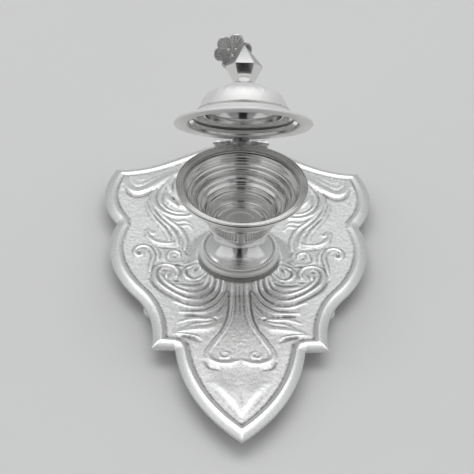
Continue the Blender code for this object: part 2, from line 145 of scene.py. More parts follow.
class Recipe:
    """Node tree of a material or a world, with a short call for each kind of node."""

    def __init__(self, owner, metallic=None):
        owner.use_nodes = True
        self.owner = owner
        self.nodes = owner.node_tree.nodes
        if metallic is not None:
            self.shade("Metallic", metallic)

    def feed(self, socket, value):
        """Set a socket to a number or a colour, or link an output to it."""
        if isinstance(value, bpy.types.NodeSocket):
            self.owner.node_tree.links.new(value, socket)
        else:
            socket.default_value = value

    def shade(self, name, value):
        """Set one of the shader's inputs, or link an output to it."""
        self.feed(self.nodes["Principled BSDF"].inputs[name], value)

    def node(self, kind, output, sockets, **settings):
        """Output of a new node, whose sockets are given by name or number."""
        made = self.nodes.new("ShaderNode" + kind)
        for name, value in settings.items():
            setattr(made, name, value)
        for name, value in sockets.items():
            self.feed(made.inputs[name], value)
        return made.outputs[output]

    def place(self, kind="Object"):
        """Texture coordinates."""
        return self.node("TexCoord", kind, {})

    def axes(self, vector):
        """The three parts of a vector."""
        return self.node("SeparateXYZ", "X", {"Vector": vector}).node.outputs

    def noise(self, scale, detail, vector=None):
        """Noise texture's factor."""
        sockets = {"Scale": scale, "Detail": detail, "Vector": vector or self.place()}
        return self.node("TexNoise", "Fac", sockets)

    def attribute(self, name):
        """Value that the mesh stores at each of its points."""
        return self.node("Attribute", "Fac", {}, attribute_name=name)

    def scaled(self, value, source, target):
        """Value mapped from the source range to the target range, clamped."""
        sockets = {"Value": value, "From Min": source[0], "From Max": source[1],
                   "To Min": target[0], "To Max": target[1]}
        return self.node("MapRange", "Result", sockets)

    def math(self, operation, first, second=0.0):
        """Sum, product or other operation on two outputs or numbers."""
        return self.node("Math", "Value", {0: first, 1: second}, operation=operation)

    def mix(self, factor, low_colour, high_colour):
        """Blend of two colours, each an output or numbers."""
        sockets = {"Factor": factor}
        for name, colour in (("A", low_colour), ("B", high_colour)):
            sockets[name] = (*colour, 1.0) if isinstance(colour, tuple) else colour
        return self.node("Mix", "Result", sockets, data_type="RGBA")

    def bump(self, height, distance, strength, normal=None):
        """Bumped normal; distance in metres."""
        sockets = {"Distance": distance, "Strength": strength, "Height": height}
        if normal is not None:
            sockets["Normal"] = normal
        return self.node("Bump", "Normal", sockets)

    def around(self, place):
        """Vector of (distance from the axis, 0, height) on a turned piece whose matrix is place."""
        back = place.inverted()
        sockets = {"Vector": self.place(), "Location": back.translation * MM, "Rotation": back.to_euler()}
        x, y, z = self.axes(self.node("Mapping", "Vector", sockets))
        squares = self.math("ADD", self.math("MULTIPLY", x, x), self.math("MULTIPLY", y, y))
        return self.node("CombineXYZ", "Vector", {"X": self.math("SQRT", squares), "Z": z})


def make_room():
    """Pale room that is brighter overhead and behind, with a dim gap straight in front."""
    world = bpy.data.worlds.new("room")
    room = Recipe(world)
    x, y, z = room.axes(room.place("Generated"))
    overhead = room.scaled(z, (0.0, 0.9), (0.20, 0.40))
    behind = room.scaled(y, (-0.2, 0.6), (0.0, 0.22))
    beside = room.scaled(room.math("ABSOLUTE", x), (0.16, 0.24), (0.0, 1.0))
    not_front = room.scaled(y, (-0.40, 0.05), (0.0, 1.0))
    gap = room.scaled(room.math("MAXIMUM", beside, not_front), (0.0, 1.0), (0.07, 1.0))
    background = room.nodes["Background"].inputs
    background["Color"].default_value = (0.96, 0.98, 1.0, 1.0)
    room.feed(background["Strength"], room.math("MULTIPLY", room.math("ADD", overhead, behind), gap))
    bpy.context.scene.world = world


def make_floor():
    """Pale table top."""
    half = 2.0
    mesh = bpy.data.meshes.new("floor")
    mesh.from_pydata([(-half, -half, 0.0), (half, -half, 0.0), (half, half, 0.0), (-half, half, 0.0)], [],
                     [(0, 1, 2, 3)])
    floor = bpy.data.objects.new("floor", mesh)
    bpy.context.scene.collection.objects.link(floor)
    table = Recipe(bpy.data.materials.new("pale_table"))
    table.shade("Roughness", 0.6)
    table.shade("Base Color", table.mix(table.noise(6.0, 3.0), (0.76, 0.755, 0.75), (0.80, 0.795, 0.79)))
    mesh.materials.append(table.owner)


# ---------------------------------------------------------------- materials

BRIGHT_SILVER = (0.95, 0.945, 0.935)
DULL_SILVER = (0.88, 0.875, 0.86)
FROSTED_SILVER = (0.86, 0.86, 0.85)
MATTED_SILVER = (0.64, 0.64, 0.63)
GREY_SILVER = (0.74, 0.74, 0.73)
PLAIN_SILVER = (0.90, 0.895, 0.88)
DARK_SILVER = (0.40, 0.40, 0.40)
# near-black colour of the painted shade in the tray's crevices
CREVICE_SHADE_SILVER = (0.16, 0.155, 0.15)
DARK_STEEL = (0.46, 0.46, 0.47)
LIGHT_STEEL = (0.62, 0.62, 0.63)
MIDDLE = (0.3, 0.7)             # range in which a noise factor mostly lies
WHOLE = (0.0, 1.0)


def make_metal(name, metallic=1.0):
    """Recipe of a new metal."""
    return Recipe(bpy.data.materials.new(name), metallic)


def make_embossed_silver():
    """Tray silver: frosted field, burnished ridges and crevices darkened by painted shade."""
    silver = make_metal("embossed_silver")
    cloud = silver.noise(60.0, 4.0)
    grain = silver.noise(2600.0, 3.0)
    polish = silver.attribute("polish")
    speckle = silver.math("ADD", silver.scaled(silver.noise(1900.0, 3.0), (0.36, 0.60), WHOLE), polish)
    clean = silver.mix(silver.scaled(speckle, WHOLE, WHOLE), MATTED_SILVER, FROSTED_SILVER)
    # painted shade: hollows below the smoothed surface are darkened towards a near-black colour, mottled
    # by the cloud
    painted_shade = silver.math("MULTIPLY", silver.attribute("cavity_shade"), silver.scaled(cloud, MIDDLE, (0.6, 0.95)))
    silver.shade("Base Color", silver.mix(painted_shade, clean, CREVICE_SHADE_SILVER))
    base = silver.scaled(polish, WHOLE, (0.46, 0.28))
    silver.shade("Roughness", silver.math("ADD", base, silver.scaled(grain, MIDDLE, (-0.05, 0.05))))
    height = silver.math("MULTIPLY", grain, silver.scaled(polish, WHOLE, (1.0, 0.15)))
    silver.shade("Normal", silver.bump(height, 0.00012, 0.7))
    return silver.owner


def make_frosted_silver(place):
    """Lid silver: even satin finish with fine turning marks."""
    silver = make_metal("frosted_silver")
    cloud = silver.noise(90.0, 4.0)
    silver.shade("Base Color", silver.mix(cloud, DULL_SILVER, BRIGHT_SILVER))
    silver.shade("Roughness", silver.scaled(cloud, MIDDLE, (0.54, 0.66)))
    frost = silver.bump(silver.noise(3200.0, 2.0), 0.00008, 0.6)
    rings = silver.noise(2400.0, 2.0, silver.around(place))
    silver.shade("Normal", silver.bump(rings, 0.00005, 0.35, frost))
    return silver.owner


def make_turned_silver(name, place, roughness, marks, dark=GREY_SILVER, metallic=1.0):
    """Polished silver with turning rings and faint scratches."""
    silver = make_metal(name, metallic)
    cloud = silver.noise(70.0, 5.0)
    silver.shade("Base Color", silver.mix(cloud, dark, PLAIN_SILVER))
    silver.shade("Roughness", silver.scaled(cloud, MIDDLE, (roughness * 0.75, roughness * 1.35)))
    ripples = silver.bump(silver.noise(240.0, 2.0), 0.00010, 0.25)
    rings = silver.noise(1300.0, 3.0, silver.around(place))
    silver.shade("Normal", silver.bump(rings, 0.00006, marks, ripples))
    return silver.owner


def make_clouded_metal(name, scale, detail, colours, roughness):
    """Metal with a faint cloudiness, for the beads, the petals' edges and the small steel pieces."""
    metal = make_metal(name)
    cloud = metal.noise(scale, detail)
    metal.shade("Base Color", metal.mix(cloud, *colours))
    metal.shade("Roughness", metal.scaled(cloud, MIDDLE, roughness))
    return metal.owner


def make_worn_silver():
    """Silver with small dents and scratches, for the hinge and its solder."""
    silver = make_metal("worn_silver")
    cloud = silver.noise(500.0, 5.0)
    patches = silver.scaled(cloud, (0.35, 0.65), WHOLE)
    silver.shade("Base Color", silver.mix(patches, DARK_SILVER, BRIGHT_SILVER))
    silver.shade("Roughness", silver.scaled(cloud, MIDDLE, (0.18, 0.42)))
    silver.shade("Normal", silver.bump(cloud, 0.00025, 0.5))
    return silver.owner


# ---------------------------------------------------------------- mesh helpers


def add_piece(name, points, faces, materials, body, place=None, smooth_angle=35.0, slot="polished_silver",
              replaces_node=True):
    """Piece from (x, y, z) points in millimetres and faces as tuples of point numbers.

    place moves the points from the piece's own axes to where it lies in the frame.
    """
    mesh = bpy.data.meshes.new(name)
    mesh.from_pydata([tuple(point) for point in np.asarray(points)], [], faces)
    if place is not None:
        mesh.transform(place)
    mesh.transform(Matrix.Scale(MM, 4))
    builder = bmesh.new()
    builder.from_mesh(mesh)
    bmesh.ops.remove_doubles(builder, verts=builder.verts, dist=1e-8)
    bmesh.ops.recalc_face_normals(builder, faces=builder.faces)
    builder.to_mesh(mesh)
    builder.free()
    return finish_piece(name, mesh, materials, body, smooth_angle, replaces_node)


def finish_piece(name, mesh, materials, body, smooth_angle=35.0,
                 replaces_node=True):
    """Give a finished mesh its materials and shading, the body it rides on and its CAD node."""
    for material in materials:
        mesh.materials.append(material)
    mesh.shade_smooth()
    mesh.set_sharp_from_angle(angle=math.radians(smooth_angle))
    item = bpy.data.objects.new(name, mesh)
    bpy.context.scene.collection.objects.link(item)
    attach(item, body)
    if replaces_node:
        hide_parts(name)
    return item


def bezier(start, pull_start, pull_end, end, steps):
    """Points along a cubic curve, without its last point."""
    t = np.arange(steps)[:, None] / steps
    controls = [np.array(point, float) for point in (start, pull_start, pull_end, end)]
    weights = ((1 - t) ** 3, 3 * t * (1 - t) ** 2, 3 * t * t * (1 - t), t ** 3)
    return sum(weight * control for weight, control in zip(weights, controls))


def curve(*controls):
    """The same as a list of tuples, for outlines."""
    return [tuple(point) for point in bezier(*controls)]


def smoothstep(start, end, value):
    """0 before start, 1 after end, and a smooth rise between."""
    t = np.clip((value - start) / (end - start), 0.0, 1.0)
    return t * t * (3 - 2 * t)


def fillet(outline, radius, steps=4, smallest_turn=12.0):
    """Round the corners of a closed (r, z) outline that turn by more than smallest_turn degrees."""
    rounded = []
    for index, here in enumerate(outline):
        corner = Vector(here)
        arriving = corner - Vector(outline[index - 1])
        leaving = Vector(outline[(index + 1) % len(outline)]) - corner
        turn = arriving.angle(leaving, 0.0)
        if corner.x < 1e-6 or turn < math.radians(smallest_turn):
            rounded.append(tuple(corner))
            continue
        trim = min(radius * math.tan(turn / 2), 0.42 * arriving.length, 0.42 * leaving.length)
        first = corner - arriving.normalized() * trim
        last = corner + leaving.normalized() * trim
        for step in range(steps + 1):
            t = step / steps
            rounded.append(tuple((1 - t) ** 2 * first + 2 * t * (1 - t) * corner + t * t * last))
    return rounded


def join_rows(rows, closed=False):
    """Faces between neighbouring loops of point numbers; closed also joins the last loop to the first."""
    faces = []
    for row, following in zip(rows, rows[1:] + rows[:1] if closed else rows[1:]):
        for corners in zip(row, row[1:] + row[:1], following[1:] + following[:1], following):
            distinct = tuple(dict.fromkeys(corners))
            if len(distinct) > 2:
                faces.append(distinct)
    return faces


def lathe_mesh(outline, segments, shape=None):
    """Revolve a closed (r, z) outline.

    shape takes arrays of angle, radius and height round a ring and returns its new radius and height.
    """
    angles = 2 * math.pi * np.arange(segments) / segments
    points = []
    rows = []
    for radius, height in outline:
        if radius < 1e-6:
            rows.append([len(points)] * segments)
            points.append((0.0, 0.0, height))
            continue
        radii = np.full(segments, radius)
        heights = np.full(segments, height)
        if shape is not None:
            radii, heights = shape(angles, radii, heights)
        rows.append(list(range(len(points), len(points) + segments)))
        points.extend(zip(radii * np.cos(angles), radii * np.sin(angles), heights))
    return np.array(points), join_rows(rows, closed=True)


def cup_placement():
    """Matrix from the cup's own axis to its place on the tray."""
    return Matrix.Translation((0.0, CUP_Y, 0.0))


def lid_placement():
    """Matrix that opens the lid about its pin, for points drawn around the shut lid's own axis."""
    turn = Matrix.Rotation(-REST_OPENING, 4, "X")
    offset = Vector((0.0, CUP_Y - HINGE.y, LID_BOTTOM - HINGE.z))
    return Matrix.Translation(HINGE) @ turn @ Matrix.Translation(offset)


def paint(piece, index, place, chosen):
    """Give a material slot to the faces whose centre and normal, in the piece's own frame, are chosen."""
    back = (Matrix.Scale(MM, 4) @ place).inverted()
    turn = back.to_3x3()
    for face in piece.data.polygons:
        if chosen(back @ face.center, turn @ face.normal):
            face.material_index = index


def add_turned(name, outline, segments, materials, body="stand", shape=None, slot="polished_silver"):
    """Turned piece on the cup's axis or, on the lid, on the lid's own axis."""
    points, faces = lathe_mesh(outline, segments, shape)
    place = lid_placement() if body == "lid" else cup_placement()
    return add_piece(name, points, faces, materials, body, place, slot=slot)


def soften(builder, smallest_turn, width, segments, clamp=False):
    """Bevel the edges that turn by more than smallest_turn degrees; width in the mesh's own units."""
    sharp = [edge for edge in builder.edges if edge.calc_face_angle(0.0) > math.radians(smallest_turn)]
    bmesh.ops.bevel(builder, geom=sharp, offset=width, segments=segments, profile=0.5, affect="EDGES",
                    clamp_overlap=clamp)


def to_mesh(builder, name):
    """Mesh from a bmesh, which is freed."""
    mesh = bpy.data.meshes.new(name)
    builder.to_mesh(mesh)
    builder.free()
    return mesh


# ---------------------------------------------------------------- tray

OUTLINE_STEP = 0.6
GRID_STEP = 0.41                # between the points of the upper face
UNDERSIDE_STEP = 1.3
FIELD_MARGIN = 0.3
HOLE_MARGIN = 0.25
UNDERSIDE_MARGIN = 0.6
HEM_BLEND = 3.5                 # the relief fades out this close to the hem, on the underside
BORDER_CREST = 3.0              # distance of the border's crest from the tray's edge
BORDER_WIDTH = 4.2
BORDER_RINGS = (0.25, 0.6, 1.1, 1.7, 2.3, 2.7, 3.0, 3.3, 3.6, 3.9)
EDGE_DROP = 1.25                # how far the border curves down to its outer edge
BORDER_POLISH = 0.6
STIPPLE = 0.05                  # height of the matting on the field
STEM_STIPPLE = 0.08             # height of the coarser matting on the stem
HEM = 1.0
CAVITY_START = 0.035            # painted shade in the crevices starts this far below the surface's smoothed level
CAVITY_RANGE = 0.12
POLISH_RANGE = 0.3
SMOOTHING_PASSES = 4


def tray_half_outline(step):
    """Right-hand edge of the tray, from the crest at the back to the tip at the front."""
    curves = [
        ((0.0, 79.0), (16.0, 79.0), (28.0, 59.5), (46.4, 60.5)),
        ((46.4, 60.5), (51.4, 49.5), (51.4, 38.0), (44.3, 28.1)),
        ((44.3, 28.1), (49.5, 14.0), (45.0, -1.0), (36.4, -11.3)),
        ((36.4, -11.3), (32.0, -17.0), (28.8, -24.5), (29.7, -37.4)),
        ((29.7, -37.4), (27.1, -37.5), (24.5, -37.7), (21.9, -37.8)),
        ((21.9, -37.8), (20.0, -54.0), (13.0, -68.0), (0.0, -79.0)),
    ]
    parts = []
    for controls in curves:
        chords = zip(controls, controls[1:])
        length = sum(math.dist(first, second) for first, second in chords)
        parts.append(bezier(*controls, max(3, round(length / step))))
    parts.append(np.array([curves[-1][-1]]))
    return np.vstack(parts)


def whole_outline(step):
    """Closed outline of the tray."""
    half = tray_half_outline(step)
    left = half[-2:0:-1] * (-1.0, 1.0)
    return np.vstack((half, left))


def distance_to(points, outline):
    """Distance of each point to a closed line, whose runs are split finely first."""
    parts = 4
    following = np.roll(outline, -1, axis=0)
    fine = np.vstack([outline + (following - outline) * part / parts for part in range(parts)])
    tree = KDTree(len(fine))
    for index, (x, y) in enumerate(fine):
        tree.insert((x, y, 0.0), index)
    tree.balance()
    return np.array([tree.find((x, y, 0.0))[2] for x, y in points])


def inside(points, outline):
    """Which points lie inside a closed outline."""
    x, y = points[:, 0], points[:, 1]
    result = np.zeros(len(points), bool)
    for first, second in zip(outline, np.roll(outline, -1, axis=0)):
        if first[1] == second[1]:
            continue
        spans = (first[1] > y) != (second[1] > y)
        crossing = first[0] + (y - first[1]) * (second[0] - first[0]) / (second[1] - first[1])
        result ^= spans & (x < crossing)
    return result


def inset(outline, distance):
    """The outline moved inwards, with the folds at its corners taken out."""
    before = outline - np.roll(outline, 1, axis=0)
    after = np.roll(outline, -1, axis=0) - outline
    area = np.sum(outline[:, 0] * np.roll(outline[:, 1], -1) - np.roll(outline[:, 0], -1) * outline[:, 1])
    side = math.copysign(1.0, area)
    normals = []
    for edge in (before, after):
        unit = edge / np.linalg.norm(edge, axis=1)[:, None]
        normals.append(np.column_stack((-unit[:, 1], unit[:, 0])) * side)
    middle = normals[0] + normals[1]
    middle /= np.linalg.norm(middle, axis=1)[:, None]
    stretch = np.maximum((middle * normals[0]).sum(1), 0.35)
    moved = outline + middle * (distance / stretch)[:, None]
    return moved[distance_to(moved, outline) > distance - 0.03]


def smooth_line(points, spacing):
    """Evenly close points on a smooth curve through the given points, and their share of its length."""
    knots = np.array(points, float)
    padded = np.vstack((2 * knots[0] - knots[1], knots, 2 * knots[-1] - knots[-2]))
    parts = []
    for index in range(len(knots) - 1):
        a, b, c, d = padded[index:index + 4]
        steps = max(2, math.ceil(math.dist(b, c) / spacing))
        t = np.arange(steps)[:, None] / steps
        parts.append(0.5 * (2 * b + (c - a) * t + (2 * a - 5 * b + 4 * c - d) * t ** 2
                            + (3 * b - a - 3 * c + d) * t ** 3))
    line = np.vstack(parts + [knots[-1:]])
    lengths = np.concatenate(([0.0], np.cumsum(np.linalg.norm(np.diff(line, axis=0), axis=1))))
    return line, lengths / lengths[-1]


# Raised lines of the ornament on the tray's right half: half width, height, and
# the points that the line passes through. The left half mirrors them.
RIDGES = [
    # lobe in the back corner
    (2.3, 1.15, [(43.5, 57), (42, 49.5), (38.5, 46.2), (35, 47.2), (31, 50.5), (27, 54.8), (19, 61.5)]),
    (1.4, 0.40, [(41, 56), (40.2, 52), (37.5, 50), (34, 51.8), (29, 56), (22, 61.5)]),
    (0.9, 0.15, [(39.8, 56.5), (38.6, 53.8), (36.2, 53.6), (32.5, 56), (26, 61)]),
    # scroll beside the cup
    (1.3, 1.15, [(28.5, 54.5), (31, 49.5), (32, 44), (31, 38), (27.5, 33.2), (22.5, 31.2), (18, 32.2),
                 (16.8, 34.5)]),
    (0.9, 0.8, [(26.8, 51.5), (29, 46), (29.2, 41), (27.2, 36.7), (23.8, 34), (20, 33.8)]),
    (1.3, 0.95, [(26.8, 44.8), (26.2, 42), (24.4, 39.3), (22.4, 37.3)]),
    (1.9, 1.1, [(21.6, 39.4), (20.4, 37.4), (19.6, 36.4)]),
    (1.3, 0.9, [(22.8, 60), (25.2, 55), (26.2, 50.5), (25.4, 46.8)]),
    (1.2, 0.7, [(20.5, 57.5), (22.6, 52.5), (23.2, 47.5), (22.6, 43.2)]),
    (0.9, 0.6, [(26.5, 29.8), (22.5, 28.2), (19.5, 28.8), (17.2, 27.2)]),
    (0.9, 0.55, [(25, 27.4), (21.5, 25.9), (18.6, 26.4), (16.8, 24.4)]),
    # stems that run from the scroll down to the middle
    (0.95, 0.95, [(34.5, 39.5), (33, 34.5), (30.2, 29), (27.6, 24.8), (25.6, 20.5), (25.2, 17.5)]),
    (1.0, 1.05, [(33.2, 40.5), (31.2, 33.6), (28.2, 28.4), (25, 24.3), (22.8, 19.8), (22, 15)]),
    (1.05, 1.05, [(32, 42), (29.4, 34.2), (26, 29.2), (22.4, 25.4), (20.2, 21.3), (19.2, 17),
                  (19.4, 12.8)]),
    # cup-shaped leaf
    (1.1, 0.95, [(33.8, 23), (32.4, 19), (29.7, 16.3), (26.2, 15.6), (23.2, 16.3)]),
    (0.8, 0.7, [(33, 24), (31.4, 21.2), (30.4, 22.4)]),
    # outer volute
    (0.9, 1.05, [(31.6, 0.8), (31.2, 5), (30.6, 9.3), (31.9, 12.9), (34.2, 14.4), (36.7, 13.4),
                 (37.3, 11), (36.2, 9), (34.6, 9.7), (34.9, 11.3)]),
    (0.7, 0.6, [(28.9, 6.5), (29.2, 10.8), (31, 14.4)]),
    # small hook inside it
    (0.75, 0.8, [(25.2, 8), (24.8, 10.6), (23.1, 11.5), (21.3, 10.3), (21.3, 8.6)]),
    (0.8, 0.6, [(20.4, 12.4), (19.4, 9), (17.8, 7), (16.4, 4.8)]),
    (0.9, 0.55, [(27.2, 12.4), (26.8, 7), (24.4, 4.8), (20, 5.4)]),
    # big scroll in front of the cup
    (1.0, 1.15, [(9.2, -2), (9.5, -6.5), (11.5, -9.8), (15, -11.4), (19, -10.7), (23, -8.2), (26, -5),
                 (27.6, -1.8)]),
    (1.1, 1.3, [(7.2, -1), (7.3, -7.5), (9.3, -11.8), (12.5, -14.3), (16.5, -14.7), (20.5, -13.2),
                (25, -9.8), (28.8, -5.5), (30, -1.2), (29.2, 2.4), (26.2, 3.9), (23, 2.7), (21.6, 0),
                (22, -2.4)]),
    (1.1, 1.25, [(5.3, -2), (5.6, -9), (7.7, -14.2), (11, -17.3), (14.5, -18.2), (18.5, -17.6),
                 (23, -15.2)]),
    (0.9, 0.9, [(25.6, -3.4), (25.4, -1), (23.7, 0.2)]),
    (0.85, 0.7, [(22.3, -6.9), (17.5, -8.2), (13, -7.7), (10.9, -4.6)]),
    # inner volute
    (0.8, 1.0, [(7.8, 0.8), (10, -0.7), (12, -3), (14.8, -4.3), (17.8, -3.6), (19.5, -1), (18.8, 1.5),
                (16.4, 2.4), (14, 1.4), (14.1, -0.6), (15.6, -1.2)]),
    (0.75, 0.6, [(11.6, 3), (14.8, 4.4), (18.6, 3.9), (21.6, 2.7)]),
    # leaf fingers beside the stem
    (1.15, 1.1, [(4.6, -11), (7.3, -17), (11.5, -20.3), (16, -21), (20.5, -20.4)]),
    (1.15, 1.05, [(4.6, -17.5), (7.2, -22.2), (11.2, -24), (15.8, -23.9), (20.5, -25.4)]),
    (0.9, 0.8, [(6.6, -24.2), (10.8, -25.6), (15.6, -26.6), (19.6, -29.2)]),
    (1.8, 1.0, [(7.2, -25.6), (10.8, -28.2), (15.6, -28.9), (21.2, -30.2)]),
    (0.8, 0.8, [(22.6, -31), (18, -31.6), (14, -32.5)]),
    # the central stem, which opens into a tulip
    (0.9, 0.95, [(2.3, -3), (2.3, -14), (3, -22), (4.6, -28), (7.2, -33.5), (9.6, -38.2), (10.4, -41.4)]),
    (0.7, 0.55, [(0.75, -4), (0.75, -14), (1, -22)]),
    (1.5, 0.9, [(10.8, -40.6), (9.9, -43.4), (7, -45.2), (3.8, -45.2), (0, -43.6)]),
    (0.7, 0.7, [(7.2, -40.4), (6.2, -42.6), (4.2, -42.4), (3.8, -40.5), (5.3, -39.8)]),
]

# Sunk lines: half width, depth and points.
GROOVES = [
    (1.1, 0.5, [(43.3, 50), (41.2, 45.4), (37.8, 43.2), (34, 44.8), (30.6, 48)]),
    (0.7, 0.45, [(28.2, 39.6), (26.6, 36.9), (24.2, 34.9)]),
    (0.8, 0.6, [(24.6, 43.8), (23.8, 41.4)]),
    (0.7, 0.4, [(31.2, 31.6), (28, 27.2), (24.3, 23.2)]),
    (0.8, 0.45, [(29, 13.9), (26, 13.5), (22.6, 13.3)]),
    (0.6, 0.45, [(23.4, 8.9), (22.6, 8.3)]),
    (0.6, 0.35, [(35.4, 11.8), (35.9, 10.8)]),
    (0.6, 0.45, [(22.6, 3.9), (17.8, 3.5)]),
    (0.7, 0.5, [(26.9, 0.9), (25.6, 1.4)]),
    (0.7, 0.5, [(22.8, -4.6), (21, -4.4)]),
    (0.8, 0.45, [(20.4, -5.9), (16.4, -6.5), (12.6, -5.8)]),
    (0.7, 0.5, [(15.2, 0.7), (15.9, 0.3)]),
    (0.7, 0.35, [(31.8, -3), (29.4, -7.6), (25, -12), (20.4, -15)]),
    (0.7, 0.35, [(3.7, -10), (4.1, -20), (5.9, -27.5), (9, -33), (11.4, -37.8), (12.3, -41.2)]),
    (0.9, 0.45, [(12, -44), (10.4, -46.8), (7.6, -48)]),
    (0.9, 0.5, [(19.5, -32.2), (16, -33.2), (13.2, -34.6)]),
    (0.7, 0.4, [(9.4, -23), (7.8, -24.3)]),
    (0.8, 0.35, [(19, -21.9), (14.5, -22.2)]),
]

# Broad swells under the lines: centre, radii and height.
SWELLS = [
    ((18.0, -5.0), (16.0, 13.0), 0.55),
    ((27.0, 38.0), (9.0, 17.0), 0.45),
    ((24.0, 12.0), (10.0, 11.0), 0.30),
    ((0.0, -24.0), (8.0, 24.0), 0.30),
    ((36.0, 54.0), (9.0, 7.0), 0.30),
]
RIDGE_SPREAD = 1.35             # ridges widened until neighbours meet in a crease
RIDGE_RISE = 0.52
LINE_STEP = 0.3
END_WIDTH = 0.45                # share of a line's width and height left at its ends
END_HEIGHT = 0.35
PETAL_POINT = -69.8             # the pointed petal at the tip, and where it is widest
PETAL_SHOULDER = -58.0
PETAL_HALF_WIDTH = 8.5
PETAL_RISE = 0.9


def lines_relief(points, lines, pointed):
    """Height of the highest line at each point; a pointed line has a V section."""
    relief = np.zeros(len(points))
    for half_width, height, knots in lines:
        line, share = smooth_line(knots, LINE_STEP)
        near = np.all((points > line.min(0) - half_width) & (points < line.max(0) + half_width), axis=1)
        chosen = np.flatnonzero(near)
        if not len(chosen):
            continue
        gaps = np.linalg.norm(points[chosen][:, None, :] - line[None, :, :], axis=2)
        nearest = gaps.argmin(1)
        distance = gaps[np.arange(len(chosen)), nearest]
        taper = np.sqrt(np.sin(math.pi * np.clip(share[nearest], 0.02, 0.98)))
        width = half_width * (END_WIDTH + (1 - END_WIDTH) * taper) * (1.0 if pointed else RIDGE_SPREAD)
        across = np.clip(distance / width, 0.0, 1.0)
        section = 1 - across if pointed else 1 - across ** 2 * (3 - 2 * across)
        rise = height * (END_HEIGHT + (1 - END_HEIGHT) * taper) * section
        relief[chosen] = np.maximum(relief[chosen], rise)
    return relief


def petal_relief(x, y):
    """Pointed petal at the tip: swelling edges and a hollow middle that fade out towards the stem."""
    share = np.clip((y - PETAL_POINT) / (PETAL_SHOULDER - PETAL_POINT), 0.0, 1.3)
    half_width = np.maximum(PETAL_HALF_WIDTH * share ** 0.85, 1e-3)
    across = np.clip(x / half_width, 0.0, 1.0)
    rim = np.sin(math.pi / 2 * np.clip((1 - across) * half_width / 3.8, 0.0, 1.0))
    flank = PETAL_RISE * rim * (1 - 0.40 * (1 - across) ** 1.5)
    crease = 0.14 * np.exp(-(x / 1.1) ** 2)
    fade = smoothstep(-47.0, -60.0, y)
    return np.where((y > PETAL_POINT) & (across < 1.0), flank - crease * rim, 0.0) * fade


def grain(points, pitch, seed):
    """Even random bumps from -1 to 1, about one pitch apart."""
    random = np.random.default_rng(seed)
    cell = points / pitch + 400.0
    base = np.floor(cell).astype(int)
    t = cell - base
    t = t * t * (3 - 2 * t)
    lattice = random.uniform(-1.0, 1.0, (800, 800))
    column, row = base[:, 0] % 799, base[:, 1] % 799
    lower = lattice[column, row] * (1 - t[:, 0]) + lattice[column + 1, row] * t[:, 0]
    upper = lattice[column, row + 1] * (1 - t[:, 0]) + lattice[column + 1, row + 1] * t[:, 0]
    return lower * (1 - t[:, 1]) + upper * t[:, 1]


def ornament(points):
    """Height of the embossed ornament above the field, and how burnished it is."""
    half = np.column_stack((np.abs(points[:, 0]), points[:, 1]))
    x, y = half[:, 0], half[:, 1]
    ridges = RIDGE_RISE * lines_relief(half, RIDGES, pointed=False)
    grooves = lines_relief(half, GROOVES, pointed=True)
    petal = petal_relief(x, y)
    swell = np.zeros(len(points))
    for (cx, cy), (rx, ry), height in SWELLS:
        swell += height * np.exp(-((x - cx) / rx) ** 2 - ((y - cy) / ry) ** 2)
    relief = np.maximum(ridges, petal) + swell - grooves
    burnish = np.clip(np.maximum((ridges - 0.15) / 0.45, 0.6 * petal), 0.0, 1.0)
    return relief, burnish


def tray_surface(points, outline):
    """Height of the tray's upper surface, and how burnished it is."""
    edge = distance_to(points, outline)
    relief, burnish = ornament(points)
    axis_distance = np.hypot(points[:, 0], points[:, 1] - CUP_Y)
    boss = BOSS_HEIGHT * smoothstep(BOSS_RADIUS + 1.0, BOSS_TOP_RADIUS + 0.6, axis_distance)
    under_cup = smoothstep(BOSS_TOP_RADIUS + 0.4, BOSS_TOP_RADIUS + 2.0, axis_distance)
    in_field = smoothstep(BORDER_WIDTH - 0.3, BORDER_WIDTH + 1.2, edge)
    on_stem = smoothstep(4.5, 2.5, np.abs(points[:, 0])) * smoothstep(-8.0, -14.0, points[:, 1])
    on_stem *= smoothstep(-43.0, -40.0, points[:, 1])
    matting = STIPPLE + (STEM_STIPPLE - STIPPLE) * on_stem
    stipple = matting * grain(points, 0.82, 3) * (1 - 0.7 * burnish)
    field = FIELD_TOP + boss + (relief + stipple) * under_cup * in_field
    slope = TRAY_TOP - EDGE_DROP * np.clip(1 - edge / BORDER_CREST, 0.0, 1.0) ** 1.6
    fall = smoothstep(BORDER_CREST - 0.2, BORDER_WIDTH + 0.9, edge)
    height = slope * (1 - fall) + field * fall
    on_border = BORDER_POLISH * smoothstep(BORDER_WIDTH + 0.6, BORDER_CREST, edge)
    return height, np.maximum(burnish * in_field, on_border)


def triangulate(loops, points):
    """Triangles over the points, inside the first loop and outside the others."""
    vertices = [Vector(point) for loop in loops for point in loop] + [Vector(point) for point in points]
    edges = []
    start = 0
    for loop in loops:
        count = len(loop)
        edges += [(start + index, start + (index + 1) % count) for index in range(count)]
        start += count
    found = delaunay_2d_cdt(vertices, edges, [], 1, 1e-6, False)
    flat = np.array([tuple(vertex) for vertex in found[0]])
    faces = np.array(found[2])
    middles = flat[faces].mean(1)
    keep = inside(middles, np.asarray(loops[0]))
    for loop in loops[1:]:
        keep &= ~inside(middles, np.asarray(loop))
    return flat, faces[keep]


def field_points(step, outline, from_edge, hole, from_hole):
    """Points of an even triangular grid that lie well inside the outline and clear of the hole."""
    corner, far = low("tray"), high("tray")
    rows = []
    y = corner.y
    while y < far.y:
        xs = np.arange(corner.x + step / 2 * (len(rows) % 2), far.x, step)
        rows.append(np.column_stack((xs, np.full(len(xs), y))))
        y += step * math.sqrt(3) / 2
    grid = np.vstack(rows)
    grid = grid[inside(grid, outline) & ~inside(grid, hole)]
    return grid[(distance_to(grid, outline) > from_edge) & (distance_to(grid, hole) > from_hole)]


def circle(radius, count, centre=(0.0, 0.0)):
    """Points of a circle."""
    angles = 2 * math.pi * np.arange(count) / count
    return np.column_stack((centre[0] + radius * np.cos(angles), centre[1] + radius * np.sin(angles)))


